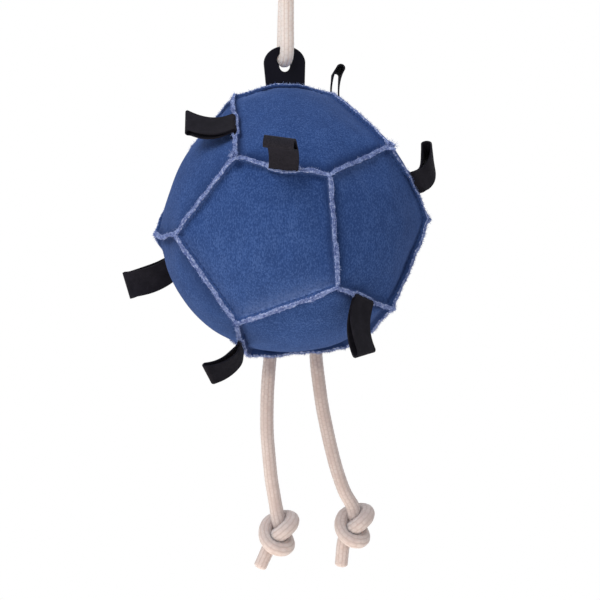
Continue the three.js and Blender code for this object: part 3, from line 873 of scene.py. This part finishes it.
# cover panels: a stretched pentagon whose seam allowance turns out into a ragged ridge
panelForm = {
    "cuts": 39,
    "thickness": 0.0019,
    "sharpAngle": 50,
    "ridgeHeight": 0.0044,
    "ridgeUneven": 0.16,
    "ridgeLevels": 5,
    "ridgeHalf": 0.0019,  # seam plane to the outer face of a ridge
    "ragged": 0.00030,
    "tipSplay": 0.0008,
    "wave": 0.0006,
    "pillow": 0.0008,  # the filling swells a panel's middle
    "pillowSpan": 0.034,
    "valley": 0.0007,  # the seam draws the cover in
    "valleySpan": 0.003,
    "foot": 0.0006,
    "footSpan": 0.0016,
    "lump": 0.0008,
    "pucker": 0.0006,
    "puckerSpan": 0.009,
    "seamSpan": 0.0048,  # lint and painted highlight lie this close to a seam
    "earLean": 0.0052,  # the allowance stands up in a pointed fold at the corners
    "earRise": 0.0036,
    "earSpan": 0.0052,
    "cornerBlend": 0.03,  # one seam's looks give way to the next over this angle, radians
    "guestFoot": 0.35,  # how far a guest parts the ridge's foot, and how fast that grows upwards
    "guestGrowth": 1.6,
    "usualEar": 0.6,
    "freeEarLean": (-1.0, 0.4),  # ranges drawn from, where the photograph shows no corner
    "freeEarShare": (0.5, 1.0),
    "seenEarShare": (0.85, 1.0),
    "seenEarLean": -0.8,  # away from the other two panels
    "earBase": 0.7,  # an ear's width is this share of its span, and grows with its height
    "earGrowth": 0.5,
    "earPoint": 1.3,
}
unevenScales = {"lump": 24, "fineLump": 62, "pucker": 150, "ridge": 130, "fineRidge": 420, "tip": 1100,
                "splay": 210, "wave": 95, "fringe": 900}

# how far each ridge stands up, as a share of the usual height, where it isn't 1
standingShares = {
    "top_front top_back": 0.35,
    "left_upper top_back": 0.25,
    "left_upper back_left": 0.12,
    "left_lower back_left": 0.35,
    "top_front right_upper": 0.6,
    "right_upper front_right": 0.3,
    "bottom_front bottom_back": 1.85,
    "front_left bottom_front": 0.9,
    "back_left bottom_back": 0.7,
    "back_right top_back": 0.6,
}
standingAt = {frozenset(seam.split()): share for seam, share in standingShares.items()}

# along a panel's seam with a neighbour: how strong the painted shade beside the ridge is (valley shading and
# the ridge's cast shadow), how far that reaches, how much lint and painted highlight lies there
seamSides = {
    "left_upper": {"front_left": (0.62, 0.016, 0)},
    "front_left": {"left_upper": (0.2, 0.003, 0), "front_right": (0.65, 0.003, 0),
                   "left_lower": (0, 0.002, 0.3), "bottom_front": (0, 0.002, 1),
                   "top_front": (0.4, 0.0036, 0)},
    "front_right": {"front_left": (0.62, 0.0085, 0), "top_front": (0.1, 0.0026, 0.3),
                    "bottom_front": (0.35, 0.0026, 0.1), "right_lower": (0.7, 0.003, 0.1),
                    "right_upper": (0.3, 0.0026, 0)},
    "left_lower": {"front_left": (0.76, 0.02, 0), "left_upper": (0.85, 0.004, 0),
                   "bottom_front": (0.6, 0.004, 0)},
    "bottom_front": {"front_left": (0.7, 0.0045, 0), "front_right": (1.3, 0.005, 0),
                     "bottom_back": (1.5, 0.009, 0)},
    "top_front": {"front_right": (0.95, 0.0068, 0), "front_left": (1, 0.0088, 0),
                  "left_upper": (0.75, 0.0026, 0.1), "top_back": (0, 0.0026, 0.6),
                  "right_upper": (0.35, 0.0026, 0)},
}
usualSide = (0.6, 0.003, 0.2)

# where three seams meet the allowance stands up in a pointed fold: its height, and the panel it leans over
cornerEars = {
    "left_upper top_front front_left": (1.2, "front_left"),
    "top_front right_upper front_right": (1.4, "front_right"),
    "right_upper right_lower front_right": (0.7, "right_lower"),
    "left_upper left_lower back_left": (0.3, "left_lower"),
    "left_upper top_front top_back": (0.6, "top_front"),
    "right_lower front_right bottom_front": (0.7, "right_lower"),
    "top_front top_back right_upper": (0.2, "right_upper"),
    "top_front front_left front_right": (0.3, "front_left"),
    "left_lower bottom_front bottom_back": (0.05, "bottom_front"),
}
earAtCorner = {frozenset(corner.split()): ear for corner, ear in cornerEars.items()}


def panelsAround(corner):
    return frozenset(sorted(panelNormals, key=lambda name: -panelNormals[name].dot(corner))[:3])


def panelSeams(name):
    normal = panelNormals[name]
    corners = [corner for corner in cornerDirections if corner.dot(normal) > cornerCosine - 1e-6]
    first = (corners[0] - normal * cornerCosine).normalized()
    second = normal.cross(first)
    corners.sort(key=lambda corner: math.atan2(corner.dot(second), corner.dot(first)))
    sides, pairs = [], []
    for a, b in zip(corners, corners[1:] + corners[:1]):
        middle = (a + b).normalized()
        across = middle * (2 * middle.dot(normal)) - normal
        neighbour = max(panelNormals, key=lambda other: panelNormals[other].dot(across))
        sides.append(a.cross(b).normalized())
        pairs.append(frozenset((name, neighbour)))
    return corners, sides, pairs


def skinRadius(direction, fromSeam):
    form = panelForm
    place = direction * ballRadius
    radius = coverRadius(direction)
    radius += form["pillow"] * smoothStep(0, form["pillowSpan"], fromSeam)
    radius -= form["valley"] * math.exp(-fromSeam / form["valleySpan"])
    kinds = ("lump", "fineLump", "pucker")
    lump, fineLump, pucker = [noise.noise(place * unevenScales[kind]) for kind in kinds]
    radius += form["lump"] * (lump + 0.5 * fineLump)
    radius += form["pucker"] * pucker * math.exp(-fromSeam / form["puckerSpan"])
    foot = max(0, 1 - (fromSeam - form["ridgeHalf"]) / form["footSpan"])
    return radius + form["foot"] * foot ** 2


def ridgePoint(root, level, panel):
    form = panelForm
    away = [root.dot(side) for side in panel["sides"]]
    nearest = away.index(min(away))
    side = panel["sides"][nearest]
    onSeam = (root - side * away[nearest]).normalized()
    place = onSeam * ballRadius
    share = level / form["ridgeLevels"]

    def waver(kind, layer=0):
        return noise.noise(place * unevenScales[kind] + panel["normal"] * layer)

    uneven = form["ridgeUneven"] * (waver("ridge") + 0.6 * waver("fineRidge", 5))
    ear, tilt = earAt(onSeam, panel)
    height = form["ridgeHeight"] * (1 + uneven) * seamBlend(away, panel["standing"]) + form["earRise"] * ear
    height += form["ragged"] * waver("tip", 3)
    inward = (panel["normal"] - onSeam * onSeam.dot(panel["normal"])).normalized()
    fixedSide = side if (side.x, side.y, side.z) > (0, 0, 0) else -side
    splay = form["tipSplay"] * (waver("splay", 7) - 0.35)
    parted = guestSpread(panel["pairs"][nearest], onSeam)
    parted *= min(1, form["guestFoot"] + form["guestGrowth"] * share)
    sideways = side * (splay * share ** 2 + parted)
    sideways += fixedSide * form["wave"] * waver("wave") * share
    sideways += side * form["ragged"] * waver("fringe", 9) * share
    return root + onSeam * height * share + sideways + inward * form["earLean"] * tilt * ear * share ** 1.5


def earAt(onSeam, panel):
    gaps = [(onSeam - corner).length * ballRadius for corner in panel["corners"]]
    rise, tilt = panel["ears"][gaps.index(min(gaps))]
    span = panelForm["earSpan"] * (panelForm["earBase"] + panelForm["earGrowth"] * rise)
    return rise * max(0, 1 - min(gaps) / span) ** panelForm["earPoint"], tilt


def seamBlend(away, values):
    nearest = min(away)
    weights = [math.exp((nearest - gap) / panelForm["cornerBlend"]) for gap in away]
    return sum(weight * value for weight, value in zip(weights, values)) / sum(weights)


def makePanelPlan(name, seed):
    corners, sides, pairs = panelSeams(name)
    normal = panelNormals[name]
    draw = random.Random(seed)
    ears = []
    for corner in corners:
        rise, leansOver = earAtCorner.get(panelsAround(corner), (panelForm["usualEar"], None))
        if leansOver is None:
            lean = draw.uniform(*panelForm["freeEarLean"])
            share = draw.uniform(*panelForm["freeEarShare"])
        else:
            lean = 1.0 if leansOver == name else panelForm["seenEarLean"]
            share = draw.uniform(*panelForm["seenEarShare"])
        ears.append((rise * share, lean))
    apothem = ballRadius * math.sqrt(1 - cornerCosine ** 2) * math.cos(math.pi / 5)
    shrink = 1 - panelForm["ridgeHalf"] / apothem
    middle = normal * cornerCosine
    rim = [middle + (corner - middle) * shrink for corner in corners]
    looks = [seamSides.get(name, {}).get(*(pair - {name}), usualSide) for pair in pairs]
    dark, shadeSpan, lintAndHighlight = zip(*looks)
    return {"name": name, "seed": seed, "normal": normal, "corners": corners, "sides": sides, "pairs": pairs,
            "ears": ears, "middle": middle, "rim": rim, "standing": [standingAt.get(pair, 1) for pair in pairs],
            "dark": dark, "shadeSpan": shadeSpan, "lintAndHighlight": lintAndHighlight}


def panelMesh(panel):
    form = panelForm
    rim = panel["rim"]
    bm = bmesh.new()
    raw = bm.verts.layers.float.new("rawEdge")
    near = bm.verts.layers.float.new("seamNear")
    dark = bm.verts.layers.float.new("seamShade")
    middle = bm.verts.new(panel["middle"])
    rimVerts = [bm.verts.new(point) for point in rim]
    midVerts = [bm.verts.new((a + b) / 2) for a, b in zip(rim, rim[1:] + rim[:1])]
    for k in range(len(rim)):
        bm.faces.new((middle, midVerts[k - 1], rimVerts[k], midVerts[k]))
    bmesh.ops.subdivide_edges(bm, edges=bm.edges[:], cuts=form["cuts"], use_grid_fill=True)
    for vert in bm.verts:
        direction = vert.co.normalized()
        away = [direction.dot(side) for side in panel["sides"]]
        fromSeam = ballRadius * min(away)
        vert.co = direction * skinRadius(direction, fromSeam)
        fromRidge = max(0, fromSeam - form["ridgeHalf"])
        # lint and painted highlight near the ridge
        vert[near] = seamBlend(away, panel["lintAndHighlight"]) * math.exp(-fromRidge / form["seamSpan"])
        # painted shade beside the ridge, fading away from it
        shadeRun = fromRidge / seamBlend(away, panel["shadeSpan"])
        vert[dark] = seamBlend(away, panel["dark"]) * math.exp(-shadeRun ** 1.5)
    edges = [edge for edge in bm.edges if edge.is_boundary]
    roots = {vert: vert.co.copy() for edge in edges for vert in edge.verts}
    tips = []
    for level in range(1, form["ridgeLevels"] + 1):
        made = bmesh.ops.extrude_edge_only(bm, edges=edges)["geom"]
        fresh = [item for item in made if isinstance(item, bmesh.types.BMVert)]
        freshSet = set(fresh)
        edges = [item for item in made if isinstance(item, bmesh.types.BMEdge)]
        edges = [edge for edge in edges if freshSet.issuperset(edge.verts)]
        nextRoots = {}
        for vert in fresh:
            below = next(edge.other_vert(vert) for edge in vert.link_edges if edge.other_vert(vert) in roots)
            nextRoots[vert] = roots[below]
        for vert, root in nextRoots.items():
            vert.co = ridgePoint(root, level, panel)
            vert[raw] = level / form["ridgeLevels"]
            # lint and painted highlight low on the ridge's flank
            vert[near] = 0.3 * (1 - vert[raw])
            # the ridge's flanks take the full painted shade of their seam
            vert[dark] = seamBlend([root.dot(side) for side in panel["sides"]], panel["dark"])
        roots = nextRoots
        tips = fresh
    tipPlaces = [vert.co.copy() for vert in tips]
    return meshFrom(bm, f"cover_{panel['name']}"), tipPlaces


def makePanel(name, seed):
    panel = makePanelPlan(name, seed)
    mesh, tipPlaces = panelMesh(panel)
    piece = addOnBall(f"cover_{name}", mesh, suede)
    addWall(piece, panelForm["thickness"], -1, panelForm["sharpAngle"])
    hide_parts(f"panel_{name}")
    makeFrayFor(panel, tipPlaces)
    makeStitchesFor(panel)


# loose fibres along the raw edges
frayForm = {
    "perTip": 6,
    "length": (0.0006, 0.0022),
    "earLength": 1.0,  # longer by this share in the tufts at the corners
    "radius": (0.00007, 0.00015),
    "tipShare": 0.35,  # of the root's radius
    "spread": 1.05,
    "sink": 0.0004,
    "batch": 12,
}


def addFibres(bm, point, panel, draw):
    form = frayForm
    outward = point.normalized()
    towardsSeam = (outward * outward.dot(panel["normal"]) - panel["normal"]).normalized()
    longer = 1 + form["earLength"] * earAt(outward, panel)[0]
    standing = seamBlend([outward.dot(side) for side in panel["sides"]], panel["standing"])
    for fibre in range(round(form["perTip"] * standing)):
        spread = Vector([draw.uniform(-1, 1) for axis in range(3)]) * form["spread"]
        heading = (outward + spread).normalized()
        length = draw.uniform(*form["length"]) * longer
        root = point + towardsSeam * draw.uniform(0, panelForm["thickness"]) - outward * form["sink"]
        turn = heading.to_track_quat("Z", "Y").to_matrix().to_4x4()
        thick = draw.uniform(*form["radius"])
        bmesh.ops.create_cone(bm, cap_ends=True, segments=3, radius1=thick, radius2=thick * form["tipShare"],
                              depth=length, matrix=Matrix.Translation(root + heading * length / 2) @ turn)


def makeFrayFor(panel, tipPlaces):
    draw = random.Random(1000 + panel["seed"])
    whole = bmesh.new()
    bundle = bpy.data.meshes.new("frayBundle")
    for first in range(0, len(tipPlaces), frayForm["batch"]):
        bm = bmesh.new()
        for point in tipPlaces[first:first + frayForm["batch"]]:
            addFibres(bm, point, panel, draw)
        bm.to_mesh(bundle)
        bm.free()
        whole.from_mesh(bundle)
    bpy.data.meshes.remove(bundle)
    name = f"fray_{panel['name']}"
    addOnBall(name, meshFrom(whole, name), fray)


# machine stitches through the foot of each ridge
stitchForm = {"pitch": 0.0037, "halfLength": 0.0013, "radius": 0.00028, "level": 1.1, "cornerGap": 0.006,
              "aimShare": 0.01}    # a stitch points along its seam, found this share of it each way


def makeStitchesFor(panel):
    form = stitchForm
    bm = bmesh.new()
    rim = panel["rim"]
    for a, b in zip(rim, rim[1:] + rim[:1]):
        span = (b - a).length * ballRadius - 2 * form["cornerGap"]
        count = round(span / form["pitch"])
        for k in range(count):
            share = (form["cornerGap"] + span * (k + 0.5) / count) / (span + 2 * form["cornerGap"])
            ends = []
            for shift in (-form["aimShare"], form["aimShare"]):
                direction = a.lerp(b, share + shift).normalized()
                root = direction * skinRadius(direction, panelForm["ridgeHalf"])
                ends.append(ridgePoint(root, form["level"], panel))
            turn = (ends[1] - ends[0]).to_track_quat("Z", "Y").to_matrix().to_4x4()
            size = Matrix.Diagonal((form["radius"], form["radius"], form["halfLength"], 1))
            bmesh.ops.create_uvsphere(bm, u_segments=6, v_segments=5, radius=1,
                                      matrix=Matrix.Translation((ends[0] + ends[1]) / 2) @ turn @ size)
    name = f"stitches_{panel['name']}"
    smoothFaces(addOnBall(name, meshFrom(bm, name), thread).data)


# filling: a lumpy core under the cover
fillingForm = {"subdivisions": 5, "depth": 0.0042, "lump": 0.0008}


def makeFillingCore():
    form = fillingForm
    bm = bmesh.new()
    bmesh.ops.create_icosphere(bm, subdivisions=form["subdivisions"], radius=1)
    for vert in bm.verts:
        direction = vert.co.normalized()
        lump = form["lump"] * noise.noise(direction * 9)
        vert.co = direction * (coverRadius(direction) - form["depth"] + lump)
    piece = addOnBall("filling_core", meshFrom(bm, "filling_core"), filling)
    smoothFaces(piece.data)
    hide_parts("stuffing")


makeFillingCore()
for number, panelName in enumerate(panelNormals):
    makePanel(panelName, number)
print("cover made")


# webbing loops: one strip folded over, its two ends sewn into the seam
def openingAt(spec, share):
    opened = smoothStep(spec["opensFrom"], spec["opensTo"], share)
    closed = spec["closes"] * smoothStep(loopForm["closesFrom"], loopForm["closesTo"], share)
    return spec["gap"] / 2 * opened * (1 - closed)


def spineAt(spec, share):
    straight = spec["length"] - loopForm["thickness"] - openingAt(spec, 1)
    steps = loopForm["spineSteps"]
    x = y = 0
    for k in range(steps):
        angle = math.radians(spec["lean"] + spec["curl"] * share * (k + 0.5) / steps)
        x += math.sin(angle) * straight * share / steps
        y += math.cos(angle) * straight * share / steps
    return x, y, math.radians(spec["lean"] + spec["curl"] * share), straight


def stripPoint(spec, across, along):
    form = loopForm
    half = form["thickness"] / 2
    endGap = openingAt(spec, 1)
    straight = spineAt(spec, 1)[3]
    total = 2 * form["tail"] + 2 * straight + math.pi * (endGap + half)
    run = along * total
    layer = 1 if run < total / 2 else -1
    toFold = total / 2 - abs(run - total / 2)
    cone = 1 + spec["cone"] * 2 * across / form["width"]
    if toFold < form["tail"]:
        reach = half * form["layerStep"] + openingAt(spec, 0) * cone * toFold / form["tail"]
        return Vector((layer * reach, toFold - form["tail"], across)), run
    if toFold < form["tail"] + straight:
        share = (toFold - form["tail"]) / straight
        turn = math.pi / 2 * layer
        reach = openingAt(spec, share) * cone + half * form["layerStep"]
    else:
        share = 1
        turn = (total / 2 - run) / (endGap + half)
        reach = endGap * cone + half
    x, y, angle, straight = spineAt(spec, share)
    offset = reach * math.sin(turn)
    ahead = reach * math.cos(turn) + spec.get("slant", 0) * 2 * across / form["width"] * share ** 4
    twist = spec["twist"] * share ** spec.get("twistPower", 1.5)
    twist = math.radians(twist + spec.get("turn", 0) * smoothStep(0, form["turnSpan"], share))
    wide = across * math.cos(twist) - offset * math.sin(twist)
    high = across * math.sin(twist) + offset * math.cos(twist)
    wide += spec["sway"] * share ** 2 - spec["sag"] * math.sin(math.pi * share)
    right = x + math.cos(angle) * high + math.sin(angle) * ahead
    upward = y - math.sin(angle) * high + math.cos(angle) * ahead
    lean = math.radians(spec["lean"])
    away = right * math.sin(lean) + upward * math.cos(lean)
    wide += spec["shear"] * away * smoothStep(0, form["shearSpan"], share)
    return Vector((right, upward, wide)), run


def makeLoop(number, spec):
    form = loopForm
    outward, tangent = seamPlace(spec["seam"], spec["offset"])
    bend = outward * (coverRadius(outward) + form["ridgeHeight"] + form["standoff"])
    settled = settle(bend)
    outward = settled.normalized()
    tangent = settle(bend + tangent * millimetre) - settle(bend - tangent * millimetre)
    tangent = (tangent - outward * tangent.dot(outward)).normalized()
    axes = Matrix((outward.cross(tangent), outward, tangent)).transposed().to_4x4()
    toRow = ballPlace @ Matrix.Translation(settled) @ axes
    bm = bmesh.new()
    bmesh.ops.create_grid(bm, x_segments=form["widthSteps"], y_segments=form["lengthSteps"], size=0.5)
    uv = bm.loops.layers.uv.new("threads")
    worn = bm.verts.layers.float.new("worn")
    threads = {}
    for vert in bm.verts:
        across = vert.co.x * form["width"]
        point, run = stripPoint(spec, across, vert.co.y + 0.5)
        threads[vert] = (across, run)
        vert[worn] = spec.get("worn", 0)
        vert.co = toRow @ point
    for face in bm.faces:
        for corner in face.loops:
            corner[uv].uv = threads[corner.vert]
    piece = addPiece(f"loop_strip_{number}", meshFrom(bm, f"loop_strip_{number}"), webbing)
    addWall(piece, form["thickness"], 0, form["sharpAngle"])
    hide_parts(f"webbing_loop_{number}", f"webbing_tail_{number}")
    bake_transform(piece)


for number, spec in enumerate(loopList, 1):
    makeLoop(number, spec)
print("webbing loops made")


# hanging tab
tabForm = {
    "width": 0.031,
    "baseWidth": 0.0285,
    "thickness": 0.0026,
    "shoulderDrop": 0.002,
    "rise": 0.0103,
    "slotRadius": 0.0058,
    "slotDrop": 0.0038,  # the slot narrows over this height to its lower end
    "slotEndRadius": 0.0042,
    "edgeRound": 0.0005,
    "footDepth": 0.0022,
    "arcSteps": 24,
}


def makeTab():
    form = tabForm
    reach = ballForm["tabReach"]
    bottom = coverRadius(Vector((0, 0, 1))) - form["footDepth"]
    shoulder = reach - form["shoulderDrop"]
    inset = form["edgeRound"]
    turns = [math.pi * i / form["arcSteps"] for i in range(form["arcSteps"] + 1)]
    halfWidth, archRise = form["width"] / 2 - inset, form["rise"] + form["shoulderDrop"] - inset
    outline = [(-form["baseWidth"] / 2 + inset, bottom), (form["baseWidth"] / 2 - inset, bottom)]
    outline += [(halfWidth * math.cos(turn), shoulder + archRise * math.sin(turn)) for turn in turns]
    slotRadius = form["slotRadius"] + inset
    slot = [(slotRadius * math.cos(turn), reach + slotRadius * math.sin(turn)) for turn in turns]
    endRadius, endHeight = form["slotEndRadius"] + inset, reach - form["slotDrop"]
    slot += [(-endRadius * math.cos(turn), endHeight - endRadius * math.sin(turn)) for turn in turns]
    curve = bpy.data.curves.new("tabOutline", "CURVE")
    curve.dimensions = "2D"
    curve.fill_mode = "BOTH"
    curve.extrude = form["thickness"] / 2 - inset
    curve.bevel_depth = inset
    curve.bevel_resolution = 3
    for points in (outline, slot):
        spline = curve.splines.new("POLY")
        spline.points.add(len(points) - 1)
        spline.use_cyclic_u = True
        for point, (x, y) in zip(spline.points, points):
            point.co = (x, y, 0, 1)
    flat = bpy.data.objects.new("tabOutline", curve)
    scene.collection.objects.link(flat)
    mesh = finishedMesh(flat)
    bpy.data.objects.remove(flat)
    mesh.transform(ballPlace @ Matrix.Rotation(math.pi / 2, 4, "X"))
    smoothFaces(mesh, 40)
    piece = addPiece("slotted_tab", mesh, leather)
    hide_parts("hanging_tab")
    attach(piece, "ball")


makeTab()
print("tab made")


# studio: white surround, pale floor well below, soft lamps
studio = {
    "floorDrop": -1.2,
    "floorRadius": 1.2,
    "ambient": 0.57,
    "lamps": [
        {"name": "topLamp", "place": (-0.92, -0.77, 0.99), "size": 1.1, "power": 15.2},
        {"name": "lowLamp", "place": (-0.30, -0.22, -1.12), "size": 1.3, "power": 10.2,
         "colour": (1, 0.86, 0.72)},
    ],
}


def makeStudio():
    world = bpy.data.worlds.new("studio")
    scene.world = world
    world.use_nodes = True
    tree = world.node_tree
    rays = addNode(tree, "ShaderNodeLightPath").outputs
    seen = mathNode(tree, "MAXIMUM", rays["Is Camera Ray"], rays["Is Glossy Ray"])
    seen = mathNode(tree, "MAXIMUM", seen, rays["Is Transmission Ray"])
    strength = addNode(tree, "ShaderNodeMix", {0: seen, 2: studio["ambient"], 3: 1.0}).outputs[0]
    background = tree.nodes["Background"]
    background.inputs["Color"].default_value = (1, 1, 1, 1)
    tree.links.new(strength, background.inputs["Strength"])
    bm = bmesh.new()
    bmesh.ops.create_circle(bm, cap_ends=True, segments=96, radius=studio["floorRadius"],
                            matrix=Matrix.Translation((0, 0, studio["floorDrop"])))
    mesh = meshFrom(bm, "floor")
    floor = bpy.data.objects.new("floor", mesh)
    scene.collection.objects.link(floor)
    material, tree, shader, place = startMaterial("paleFloor", Roughness=0.9)
    shader.inputs["Base Color"].default_value = (0.82, 0.82, 0.82, 1)
    mesh.materials.append(material)
    for lamp in studio["lamps"]:
        data = bpy.data.lights.new(lamp["name"], "AREA")
        data.shape = "DISK"
        data.size = lamp["size"]
        data.energy = lamp["power"]
        data.color = lamp.get("colour", (1, 1, 1))
        light = bpy.data.objects.new(lamp["name"], data)
        light.location = lamp["place"]
        light.visible_camera = False
        light.rotation_euler = (ballCentre - Vector(lamp["place"])).to_track_quat("-Z", "Y").to_euler()
        scene.collection.objects.link(light)
    scene.view_settings.view_transform = "Standard"


makeStudio()
print("studio set")
